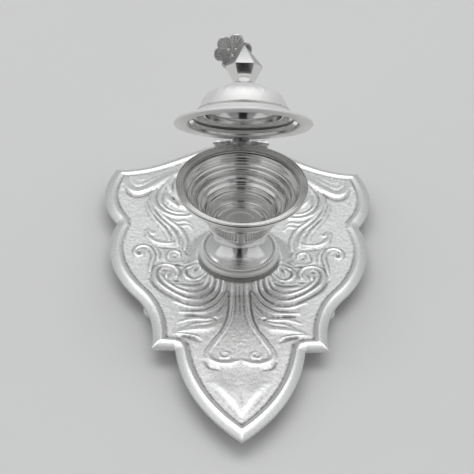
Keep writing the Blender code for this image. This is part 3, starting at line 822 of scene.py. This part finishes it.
def wall(loop, heights):
    """Points and faces of an upright wall on a loop, through the given heights."""
    count = len(loop)
    points = np.vstack([np.column_stack((loop, np.broadcast_to(level, count))) for level in heights])
    rows = [list(range(row * count, (row + 1) * count)) for row in range(len(heights))]
    return points, join_rows(rows)


def build_tray(material):
    """Embossed sheet tray with a raised border, a turned-down hem and its relief seen from below."""
    outline = whole_outline(OUTLINE_STEP)
    hole = circle(SCREW_HOLE_RADIUS, 32, (0.0, CUP_Y))
    rings = [inset(outline, offset) for offset in BORDER_RINGS]
    grid = field_points(GRID_STEP, outline, BORDER_WIDTH + FIELD_MARGIN, hole, HOLE_MARGIN)
    flat, top_faces = triangulate([outline, hole], np.vstack(rings + [grid]))

    hem_loop = inset(outline, HEM)
    coarse = field_points(UNDERSIDE_STEP, hem_loop, UNDERSIDE_MARGIN, hole, UNDERSIDE_MARGIN)
    under, under_faces = triangulate([hem_loop, hole], coarse)
    under_heights = tray_surface(under, outline)[0] - SHEET
    near_hem = 1 - smoothstep(0.0, HEM_BLEND, distance_to(under, hem_loop))
    under_heights = under_heights * (1 - near_hem) + (FIELD_TOP - SHEET) * near_hem
    hem_flat, hem_faces = triangulate([outline, hem_loop], np.empty((0, 2)))

    outline_top = tray_surface(outline, outline)[0]
    sheets = [
        (np.column_stack((flat, tray_surface(flat, outline)[0])), top_faces),
        (np.column_stack((under, under_heights)), under_faces),
        (np.column_stack((hem_flat, np.full(len(hem_flat), APRON_BOTTOM))), hem_faces),
        wall(outline, [outline_top, (outline_top + APRON_BOTTOM) / 2, APRON_BOTTOM]),
        wall(hem_loop, [APRON_BOTTOM, FIELD_TOP - SHEET]),
        wall(hole, [BOSS_TOP, BOSS_TOP - SHEET]),
    ]
    points = []
    faces = []
    for sheet_points, sheet_faces in sheets:
        start = len(points)
        points.extend(map(tuple, sheet_points))
        faces.extend(tuple(int(index) + start for index in face) for face in sheet_faces)
    tray = add_piece("tray", points, faces, [material], "stand", None, 50.0, "satin_silver")
    store_finish(tray.data, outline)


def store_finish(mesh, outline):
    """Store on the tray's mesh where it is burnished and where painted shade darkens its hollows."""
    count = len(mesh.vertices)
    co = np.zeros(count * 3)
    mesh.vertices.foreach_get("co", co)
    co = co.reshape(-1, 3) / MM
    edges = np.zeros(len(mesh.edges) * 2, int)
    mesh.edges.foreach_get("vertices", edges)
    first, second = edges.reshape(-1, 2).T
    degree = np.bincount(first, minlength=count) + np.bincount(second, minlength=count)
    level = co[:, 2].copy()
    for _ in range(SMOOTHING_PASSES):
        total = np.bincount(first, level[second], count) + np.bincount(second, level[first], count)
        level = total / np.maximum(degree, 1)
    burnish = tray_surface(co[:, :2], outline)[1]
    # painted shade mask: points that lie below their smoothed level, away from the border
    cavity_shade = np.clip((level - co[:, 2] - CAVITY_START) / CAVITY_RANGE, 0.0, 1.0)
    cavity_shade *= distance_to(co[:, :2], outline) > BORDER_CREST
    upper = co[:, 2] > FIELD_TOP - SHEET / 2
    polish = np.clip(burnish + (co[:, 2] - level) / POLISH_RANGE, 0.0, 1.0)
    for name, values in (("polish", polish * upper), ("cavity_shade", cavity_shade * upper)):
        layer = mesh.attributes.new(name, "FLOAT", "POINT")
        layer.data.foreach_set("value", values.astype(np.float32))


# ---------------------------------------------------------------- feet and cup

FEET = ("foot_front_left", "foot_front_right", "foot_back_left", "foot_back_right")


def arc(radius, centre, start, end, steps):
    """Points of an (r, z) arc, its angles measured up from the horizontal."""
    angles = [start + (end - start) * step / steps for step in range(steps + 1)]
    return [(radius * math.cos(angle), centre + radius * math.sin(angle)) for angle in angles]


def build_feet(material):
    """Ball feet, each with a neck that meets the tray and a small flat to stand on."""
    for name in FEET:
        corner, far = low(name), high(name)
        radius = (far.x - corner.x) / 2
        centre = far.z - radius
        highest = math.radians(62.0)
        neck = radius * math.cos(highest)
        top = FIELD_TOP - SHEET + 0.15
        outline = [(0.0, 0.0)] + arc(radius, centre, math.asin(-centre / radius), highest, 20)
        outline += [(neck + 0.25, top - 0.35), (neck + 0.5, top), (0.0, top)]
        place = Matrix.Translation(((corner.x + far.x) / 2, (corner.y + far.y) / 2, 0.0))
        add_piece(name, *lathe_mesh(fillet(outline, 0.2), 48), [material], "stand", place)


def build_cup_stand(material, base_material, bead_material):
    """Seat disc, trumpet foot and the beaded wire around it."""
    bottom, top = low("cup_seat").z, high("cup_seat").z
    radius = high("cup_seat").x
    seat = [(SCREW_HOLE_RADIUS, bottom), (radius, bottom), (radius, top), (SCREW_HOLE_RADIUS, top)]
    add_turned("cup_seat", fillet(seat, 0.25), 96, [base_material])

    base = high("cup_foot").x
    waist = 6.2
    outline = [(2.0, FOOT_BOTTOM), (base, FOOT_BOTTOM), (base, FOOT_BOTTOM + 1.2),
               (base - 0.5, FOOT_BOTTOM + 1.7), (12.9, FOOT_BOTTOM + 1.8), (12.0, FOOT_BOTTOM + 2.0)]
    outline += curve((12.0, FOOT_BOTTOM + 2.5), (8.6, FOOT_BOTTOM + 3.8), (waist, FOOT_BOTTOM + 6.6),
                     (waist, FOOT_TOP - 2.4), 24)
    outline += [(waist, FOOT_TOP - 2.4), (waist + 0.4, FOOT_TOP - 2.0), (waist + 0.4, FOOT_TOP - 1.5),
                (waist + 0.9, FOOT_TOP - 0.9), (waist + 2.6, FOOT_TOP), (0.0, FOOT_TOP),
                (0.0, FOOT_BOTTOM + 7.0), (2.0, FOOT_BOTTOM + 7.0)]
    foot = add_turned("cup_foot", fillet(outline, 0.3), 128, [material, base_material])
    paint(foot, 1, cup_placement(), lambda centre, normal: centre.z < FOOT_BOTTOM + 2.1)
    build_bead_ring(bead_material)


def build_bead_ring(material):
    """Wire ring drawn into a row of beads."""
    corner, far = low("foot_bead_ring"), high("foot_bead_ring")
    bead = (far.z - corner.z) / 2
    beads = 84
    around = beads * 8
    section = 10
    points = []
    for angle in 2 * math.pi * np.arange(around) / around:
        wire = bead * (0.45 + 0.55 * abs(math.sin(beads * angle / 2)) ** 0.6)
        for tilt in 2 * math.pi * np.arange(section) / section:
            out = far.x - bead + wire * math.cos(tilt)
            height = corner.z + bead + wire * math.sin(tilt)
            points.append((out * math.cos(angle), out * math.sin(angle), height))
    rows = [list(range(step * section, (step + 1) * section)) for step in range(around)]
    faces = join_rows(rows, closed=True)
    add_piece("foot_bead_ring", points, faces, [material], "stand", cup_placement(), 60.0)


SOLDER_HALF_WIDTH = 3.1
SOLDER_INNER_RADIUS = 19.5
SOLDER_DROP = 0.9               # how far the strap hangs down beyond the rim


def build_solder_patch(material):
    """Rough strap of solder that fixes the moving leaf inside the lid's flange, down to its knuckle."""
    rows, columns = 34, 40
    knuckle = HINGE.y - CUP_Y
    half_angle = math.atan(SOLDER_HALF_WIDTH / knuckle)
    along = np.linspace(-1.0, 1.0, rows)[:, None]
    across = np.linspace(-1.0, 1.0, columns)[None, :]
    reach = knuckle - 0.2 - SOLDER_INNER_RADIUS
    radius = np.broadcast_to(SOLDER_INNER_RADIUS + reach * (along + 1) / 2, (rows, columns))
    angle = math.pi / 2 + half_angle * across
    flat = np.column_stack(((radius * np.cos(angle)).ravel(), (radius * np.sin(angle)).ravel()))
    edge = (1 - along ** 6) * (1 - across ** 6)
    lumps = np.clip(0.10 + 0.10 * grain(flat, 0.7, 11) + 0.05 * grain(flat, 0.35, 12), 0.02, 0.26)
    beyond_rim = smoothstep(RIM_RADIUS + 0.2, knuckle - 0.5, radius)
    depth = (lumps.reshape(rows, columns) + SOLDER_DROP * beyond_rim) * edge
    points = np.vstack((np.column_stack((flat, -depth.ravel())),
                        np.column_stack((flat, np.full(len(flat), 0.08)))))
    lower = np.arange(rows * columns).reshape(rows, columns)
    upper = lower + rows * columns
    loops = [list(map(int, [*lower[row], *upper[row, ::-1]])) for row in range(rows)]
    faces = join_rows(loops)
    for row in (0, rows - 1):
        for column in range(columns - 1):
            faces.append((lower[row, column], lower[row, column + 1],
                          upper[row, column + 1], upper[row, column]))
    add_piece("hinge_solder", points, faces, [material], "lid", lid_placement(), 60.0,
              replaces_node=False)


FLUTES = 76
FLUTE_DEPTH = 0.46
PANEL_HALF_WIDTH = 1.7          # plain panel between the flutes at the front


def bowl_flutes(angles, radii, heights):
    """Upright flutes round the lower bowl, with one plain panel at the front."""
    radius, height = radii[0], heights[0]
    bottom = smoothstep(BOWL_BOTTOM + 1.0, BOWL_BOTTOM + 1.4, height)
    band = bottom * (1 - smoothstep(RIM_TOP - 12.9, RIM_TOP - 12.5, height))
    if height >= RIM_TOP - 12.2 or radius <= 11.0 or band <= 0.0:
        return radii, heights
    side = radii * np.abs(np.arctan2(np.cos(angles), -np.sin(angles)))
    panel = smoothstep(PANEL_HALF_WIDTH, PANEL_HALF_WIDTH + 0.3, side)
    frame_line = np.exp(-((side - PANEL_HALF_WIDTH) / 0.3) ** 2)
    flute = 1 - np.abs(np.sin(FLUTES * (angles + math.pi / 2) / 2))
    depth = FLUTE_DEPTH * (flute * panel + 1.2 * frame_line)
    return radii - depth * band, heights


def ripple(outline, depth, smallest_radius):
    """Fine uneven turned rings: every point moves in and out along the outline's normal."""
    line = []
    travelled = 0.0
    for index, point in enumerate(outline):
        here = Vector(point)
        before = Vector(outline[max(index - 1, 0)])
        along = Vector(outline[min(index + 1, len(outline) - 1)]) - before
        travelled += (here - before).length
        if along.length > 1e-6 and here.x >= smallest_radius:
            swing = math.sin(7.4 * travelled) + 0.8 * math.sin(4.1 * travelled + 1.0)
            here += Vector((-along.y, along.x)).normalized() * depth * swing
        line.append(tuple(here))
    return line


def densify(outline, longest):
    """Split the straight runs of an open outline so that no run is longer than longest."""
    points = [tuple(outline[0])]
    for first, second in zip(outline, outline[1:]):
        steps = max(1, math.ceil(math.dist(first, second) / longest))
        for step in range(1, steps + 1):
            t = step / steps
            points.append((first[0] + (second[0] - first[0]) * t, first[1] + (second[1] - first[1]) * t))
    return points


OUTSIDE_STEP = 0.6
INSIDE_STEP = 0.23
RIPPLE_DEPTH = 0.014
DISC_RADIUS = 7.4               # satin disc on the bowl's floor


def build_bowl(material, satin):
    """Spun bowl with a stepped inside, a turned-out lip and a fluted lower wall."""
    floor = BOWL_BOTTOM + 0.8
    lip = RIM_TOP - 0.8 - LIP_DROP
    steps = [(19.1, 3.4), (18.6, 4.6), (17.6, 5.6), (16.6, 6.4), (16.3, 7.2), (15.1, 7.9), (14.3, 8.6),
             (13.8, 9.8), (13.1, 10.6), (12.5, 11.0), (12.1, 11.8), (11.0, 12.5)]
    bottom = [(10.7, 3.4), (10.5, 1.4), (10.2, 1.0), (9.7, 0.9), (9.3, 0.0), (7.9, 0.0), (7.4, 0.8),
              (5.3, 0.8), (5.0, 0.4), (4.6, 0.4), (4.3, 0.8), (0.0, 0.8)]
    belly = [(0.0, -0.8), (10.3, -0.8), (11.2, -0.6), (11.0, -0.2), (11.5, 0.2), (11.3, 0.7)]
    flank = [(11.6, 12.3), (12.1, 12.4), (12.6, 12.0), (13.9, 10.9), (15.1, 9.1), (15.7, 8.7), (17.7, 7.3),
             (19.7, 4.2), (20.5, 3.0), (22.3, 1.9), (RIM_RADIUS, 1.5), (RIM_RADIUS, 0.8)]
    outline = [(radius, floor + rise) for radius, rise in belly]
    outline += [(radius, RIM_TOP - drop) for radius, drop in flank]
    outline += [(LIP_INNER_RADIUS + 0.3, lip + 0.1), (LIP_INNER_RADIUS, lip), (19.6, lip - 0.3)]
    outline += [(radius, RIM_TOP - drop) for radius, drop in steps]
    outline += [(radius, floor + rise) for radius, rise in bottom]
    rounded = fillet(outline, 0.40)
    split = next(index for index, point in enumerate(rounded) if point[0] < 20.4 and point[1] > lip - 0.1)
    outer = densify(rounded[:split], OUTSIDE_STEP)
    inner = ripple(densify(rounded[split:], INSIDE_STEP), RIPPLE_DEPTH, 10.4)
    bowl = add_turned("cup_bowl", outer + inner, FLUTES * 4, [material, satin], shape=bowl_flutes)
    paint(bowl, 1, cup_placement(), lambda centre, normal: (
        normal.z > 0.5 and math.hypot(centre.x, centre.y) < DISC_RADIUS and centre.z < floor + 0.9))


def build_rim_band(material):
    """Dished ring on the lip, with fine turned lines round it."""
    inner = LIP_INNER_RADIUS
    top = RIM_TOP - LIP_DROP
    slope = LIP_DROP / (RIM_RADIUS - inner)
    band = [(inner, top - 0.5), (RIM_RADIUS, RIM_TOP - 0.5), (RIM_RADIUS, RIM_TOP - 0.1),
            (RIM_RADIUS - 0.1, RIM_TOP)]
    for out in (2.3, 1.6, 0.9):
        rise = top + slope * out
        band += [(inner + out, rise), (inner + out - 0.18, rise - 0.16), (inner + out - 0.36, rise - 0.10)]
    band.append((inner, top))
    add_turned("cup_rim_band", fillet(band, 0.08), 180, [material])


# ---------------------------------------------------------------- lid

LID_SHEET = 0.75
DOME_TOP = 13.7                 # flat on top of the dome, above the lid's lower edge
DOME_TOP_SHEET = 0.8
STUD_HOLE_RADIUS = 2.0
POLISHED_RADIUS = 18.9          # the lid's underside is polished inside this radius
BRIM_DOTS = 92
DOT_CIRCLE = 17.6
DOT_RADIUS = 0.45
DOT_HEIGHT = 0.22
LEAVES = 26
LEAF_HEIGHT = 0.10


def lid_outside():
    """Outer line of the lid from its edge to the flat on top, heights above its lower edge."""
    brim = [(LID_RADIUS, 0.0), (LID_RADIUS, 0.7), (21.4, 0.8)]
    brim += curve((20.4, 1.5), (18.8, 2.7), (17.0, 3.2), (15.9, 4.4), 14)
    foot = [(15.5, 4.5), (15.5, 4.75), (16.0, 4.8), (16.0, 5.3), (15.4, 5.4)]
    drum = curve((15.2, 5.6), (14.8, 7.5), (13.6, 10.7), (10.4, 11.4), 22)
    step = [(9.9, 11.15), (9.2, 11.15)]
    cap = curve((9.5, 11.7), (8.2, 12.3), (7.1, 13.2), (5.6, DOME_TOP), 12)
    return brim + foot + drum + step + cap + [(5.6, DOME_TOP)]


def lid_relief(angles, radii, heights):
    """Dots along the brim and a row of small leaves round the shoulder."""
    radius, height = radii[0], heights[0]
    lift = np.zeros(len(angles))
    on_brim = math.exp(-((radius - DOT_CIRCLE) / DOT_RADIUS) ** 2) if height > 2.2 else 0.0
    if on_brim > 0.02:
        lift = lift + DOT_HEIGHT * on_brim * np.clip(np.cos(BRIM_DOTS * angles), 0.0, 1.0)
    shoulder = 0.0
    if radius > 10.4:
        shoulder = smoothstep(8.6, 9.4, height) * (1 - smoothstep(10.9, 11.3, height))
    if shoulder > 0.02:
        reach = 8.8 + 2.0 * np.abs(np.cos(LEAVES * angles / 2))
        lift = lift + LEAF_HEIGHT * shoulder * smoothstep(reach - 0.2, reach + 0.35, height)
    return radii + 0.6 * lift, heights + 0.8 * lift


def build_lid(frosted, polished):
    """Domed lid as a thin shell: brim with dots, ring, drum and a cone-shaped cap; polished inside."""
    outside = lid_outside()
    within = [(STUD_HOLE_RADIUS, DOME_TOP - DOME_TOP_SHEET)]
    for radius, height in reversed(outside[6:]):
        within.append((radius - LID_SHEET, height - 0.35 - 0.4 * smoothstep(8.0, 10.5, height)))
    within += [(16.9, 2.0), (18.5, 1.1), (18.9, 0.35), (19.3, 0.0)]
    outline = fillet(outside + [(STUD_HOLE_RADIUS, DOME_TOP)] + within, 0.2, 3, 14.0)
    lid = add_turned("lid_dome", outline, BRIM_DOTS * 5, [frosted, polished], "lid", lid_relief,
                     "satin_silver")
    paint(lid, 1, lid_placement(),
          lambda centre, normal: normal.z < 0.0 and math.hypot(centre.x, centre.y) < POLISHED_RADIUS)


def build_seam_ring(material):
    """Ring inside the lid where its brim meets the dome."""
    radius = high("lid_seam_ring").x
    ring = [(radius - 0.7, 3.0), (radius, 3.0), (radius, 5.2), (radius - 0.7, 5.2)]
    add_turned("lid_seam_ring", fillet(ring, 0.2), 128, [material], "lid", slot="satin_silver")


# ---------------------------------------------------------------- finial

NECK_RADIUS = 3.4
NECK_BOTTOM = DOME_TOP + GAP
NECK_TOP = NECK_BOTTOM + 0.5
STUD_LENGTH = 2.6
GIRDLE_RADIUS = 6.6
GIRDLE_HEIGHT = 20.4
CALYX_TOP = 27.9
FLOWER_CENTRE = (-3.9, 3.9, 27.4)
FLOWER_NOD = math.radians(37.4)
FLOWER_TURN = math.radians(15.0)
PETALS = 6
PETAL_CENTRE = 4.1
PETAL_RADIUS = 2.7
PETAL_SHEET = 0.6
PETAL_RIM = 0.88                # the petals' edges are burnished beyond this share of their length
PETAL_CUP = 0.035               # forward curl of the petals
BEAD_CIRCLE = 1.5
BEAD_RADIUS = 0.58


def build_neck(material):
    """Round collar under the calyx, with the stud that holds it."""
    stud_bottom = DOME_TOP - DOME_TOP_SHEET - STUD_LENGTH
    neck = [(0.0, stud_bottom), (1.1, stud_bottom), (1.1, NECK_BOTTOM), (NECK_RADIUS, NECK_BOTTOM),
            (NECK_RADIUS, NECK_TOP), (0.0, NECK_TOP)]
    add_turned("finial_neck", fillet(neck, 0.15), 64, [material], "lid")


def build_nut(material):
    """Six-sided nut inside the dome."""
    top = DOME_TOP - DOME_TOP_SHEET - GAP
    outline = [(1.5, top - 1.8), (3.2, top - 1.8), (3.4, top - 1.6), (3.4, top - 0.2), (3.2, top),
               (1.5, top)]
    add_piece("finial_nut", *lathe_mesh(outline, 6), [material], "lid", lid_placement(), 25.0)


def build_calyx(frosted, polished):
    """Six-sided double pyramid with softened edges: frosted above its girdle, polished below."""
    bottom = NECK_TOP + 0.1
    gem = [(0.0, bottom), (NECK_RADIUS, bottom), (GIRDLE_RADIUS, GIRDLE_HEIGHT), (0.4, CALYX_TOP),
           (0.0, CALYX_TOP)]
    points, faces = lathe_mesh(gem, 6)
    builder = bmesh.new()
    vertices = [builder.verts.new(point) for point in points]
    for face in faces:
        builder.faces.new([vertices[index] for index in face])
    bmesh.ops.recalc_face_normals(builder, faces=builder.faces)
    soften(builder, 15.0, 0.16, 3)
    for face in builder.faces:
        face.material_index = 0 if face.calc_center_median().z > GIRDLE_HEIGHT else 1
    mesh = to_mesh(builder, "finial_calyx")
    mesh.transform(Matrix.Scale(MM, 4) @ lid_placement())
    finish_piece("finial_calyx", mesh, [frosted, polished], "lid")


def from_petal_middle(angle):
    """Angle from the middle of the nearest petal."""
    spacing = 2 * math.pi / PETALS
    return (angle + spacing / 2) % spacing - spacing / 2


def petal_edge(angle):
    """Radius of the flower's scalloped edge."""
    offset = from_petal_middle(angle)
    across = PETAL_CENTRE * np.sin(offset)
    return PETAL_CENTRE * np.cos(offset) + np.sqrt(PETAL_RADIUS ** 2 - across ** 2)


def petal_height(angle, radius, edge):
    """Forward curl of the petals, their folded sides and their veins."""
    offset = from_petal_middle(angle)
    share = radius / edge
    fold = 0.22 * share * (PETALS * np.abs(offset) / math.pi) ** 2
    vein = 0.05 * np.cos(offset * 30.0) * smoothstep(0.35, 0.6, share) * (1 - smoothstep(0.85, 1.0, share))
    rim = 0.16 * smoothstep(0.86, 0.95, share) * (1 - smoothstep(0.97, 1.02, share))
    return PETAL_CUP * radius ** 2 + rim + vein - fold


def flower_placement():
    """Matrix of the flower's own frame: its front faces forward and nods down."""
    facing = Matrix.Rotation(math.pi / 2 + FLOWER_NOD, 4, "X") @ Matrix.Rotation(FLOWER_TURN, 4, "Z")
    return lid_placement() @ Matrix.Translation(FLOWER_CENTRE) @ facing


def build_flower(material, rim_material):
    """Open six-petalled flower, with thin rolled edges and fine veins."""
    segments = PETALS * 36
    shares = [*np.linspace(0.06, 0.86, 14), 0.9, 0.93, 0.96, 0.985, 1.0]
    angles = 2 * math.pi * np.arange(segments) / segments
    edge = petal_edge(angles)
    points = []
    for order, sheet, roll in ((shares, PETAL_SHEET, -0.12), (shares[::-1], 0.0, 0.12)):
        for share in order:
            radius = edge * share
            height = petal_height(angles, radius, edge) + sheet + (roll if share == 1.0 else 0.0)
            points.extend(zip(radius * np.cos(angles), radius * np.sin(angles), height))
    rows = [list(range(start, start + segments)) for start in range(0, len(points), segments)]
    faces = join_rows(rows)
    for row, level in ((rows[0], PETAL_SHEET), (rows[-1], 0.0)):
        faces += join_rows([row, [len(points)] * segments])
        points.append((0.0, 0.0, level))
    place = flower_placement()
    flower = add_piece("finial_flower", points, faces, [material, rim_material], "lid", place, 60.0)
    paint(flower, 1, place, lambda centre, normal: (
        math.hypot(centre.x, centre.y) > PETAL_RIM * petal_edge(math.atan2(centre.y, centre.x))))


def build_flower_beads(material):
    """Small balls at the flower's middle."""
    ball = arc(BEAD_RADIUS, 0.0, -math.pi / 2, math.pi / 2, 16)
    height = PETAL_SHEET + PETAL_CUP * BEAD_CIRCLE ** 2 + BEAD_RADIUS * 0.9
    for index in range(3):
        angle = 2 * math.pi * index / 3 + math.radians(20.0)
        spot = Matrix.Translation((BEAD_CIRCLE * math.cos(angle), BEAD_CIRCLE * math.sin(angle), height))
        place = flower_placement() @ spot
        add_piece(f"flower_bead_{index + 1}", *lathe_mesh(ball, 24), [material], "lid", place)


# ---------------------------------------------------------------- all pieces


def build_hinge_leaf(name, body, material):
    """Hinge leaf of the frame's shape, with its edges filed round."""
    builder = bmesh.new()
    builder.from_mesh(frame["nodes"][name].data)
    bmesh.ops.remove_doubles(builder, verts=builder.verts, dist=1e-6)
    bmesh.ops.dissolve_limit(builder, angle_limit=math.radians(1.0), verts=builder.verts,
                             edges=builder.edges)
    soften(builder, 30.0, 0.13 * MM, 2, clamp=True)
    finish_piece(name, to_mesh(builder, name), [material], body)


def carry_over(node, material):
    """Keep a CAD node and give it a finished material."""
    mesh = frame["nodes"][node].data
    mesh.materials.clear()
    mesh.materials.append(material)


def build_all():
    """Camera, light, table and every piece of the cup."""
    make_camera()
    make_lights()
    make_room()
    make_floor()
    frosted = make_frosted_silver(lid_placement())
    turned = make_turned_silver("turned_silver", cup_placement(), 0.13, 0.5)
    rim = make_turned_silver("rim_silver", cup_placement(), 0.15, 1.0, MATTED_SILVER)
    polished = make_turned_silver("polished_silver", cup_placement(), 0.17, 0.4)
    satin = make_turned_silver("satin_silver_disc", cup_placement(), 0.50, 0.6, DULL_SILVER, 0.5)
    lid_lining = make_turned_silver("lid_lining_silver", lid_placement(), 0.14, 0.4)
    finial = make_turned_silver("finial_silver", lid_placement(), 0.16, 0.2)
    matt = make_turned_silver("matt_silver", lid_placement(), 0.45, 0.6, DARK_SILVER)
    petals = make_turned_silver("petal_silver", lid_placement(), 0.30, 0.6, DARK_SILVER)
    bright = make_clouded_metal("bright_silver", 900.0, 3.0, (DULL_SILVER, BRIGHT_SILVER), (0.12, 0.22))
    steel = make_clouded_metal("plain_steel", 300.0, 4.0, (DARK_STEEL, LIGHT_STEEL), (0.24, 0.4))
    worn = make_worn_silver()
    build_tray(make_embossed_silver())
    build_feet(polished)
    build_cup_stand(polished, satin, bright)
    build_bowl(turned, satin)
    build_rim_band(rim)
    build_lid(frosted, lid_lining)
    build_seam_ring(lid_lining)
    build_neck(finial)
    build_nut(finial)
    build_calyx(matt, finial)
    build_flower(petals, bright)
    build_flower_beads(bright)
    build_solder_patch(worn)
    build_hinge_leaf("hinge_leaf_cup", "stand", worn)
    build_hinge_leaf("hinge_leaf_lid", "lid", worn)
    for node in ("hinge_pin", "fixing_washer", "fixing_screw"):
        carry_over(node, steel)


build_all()
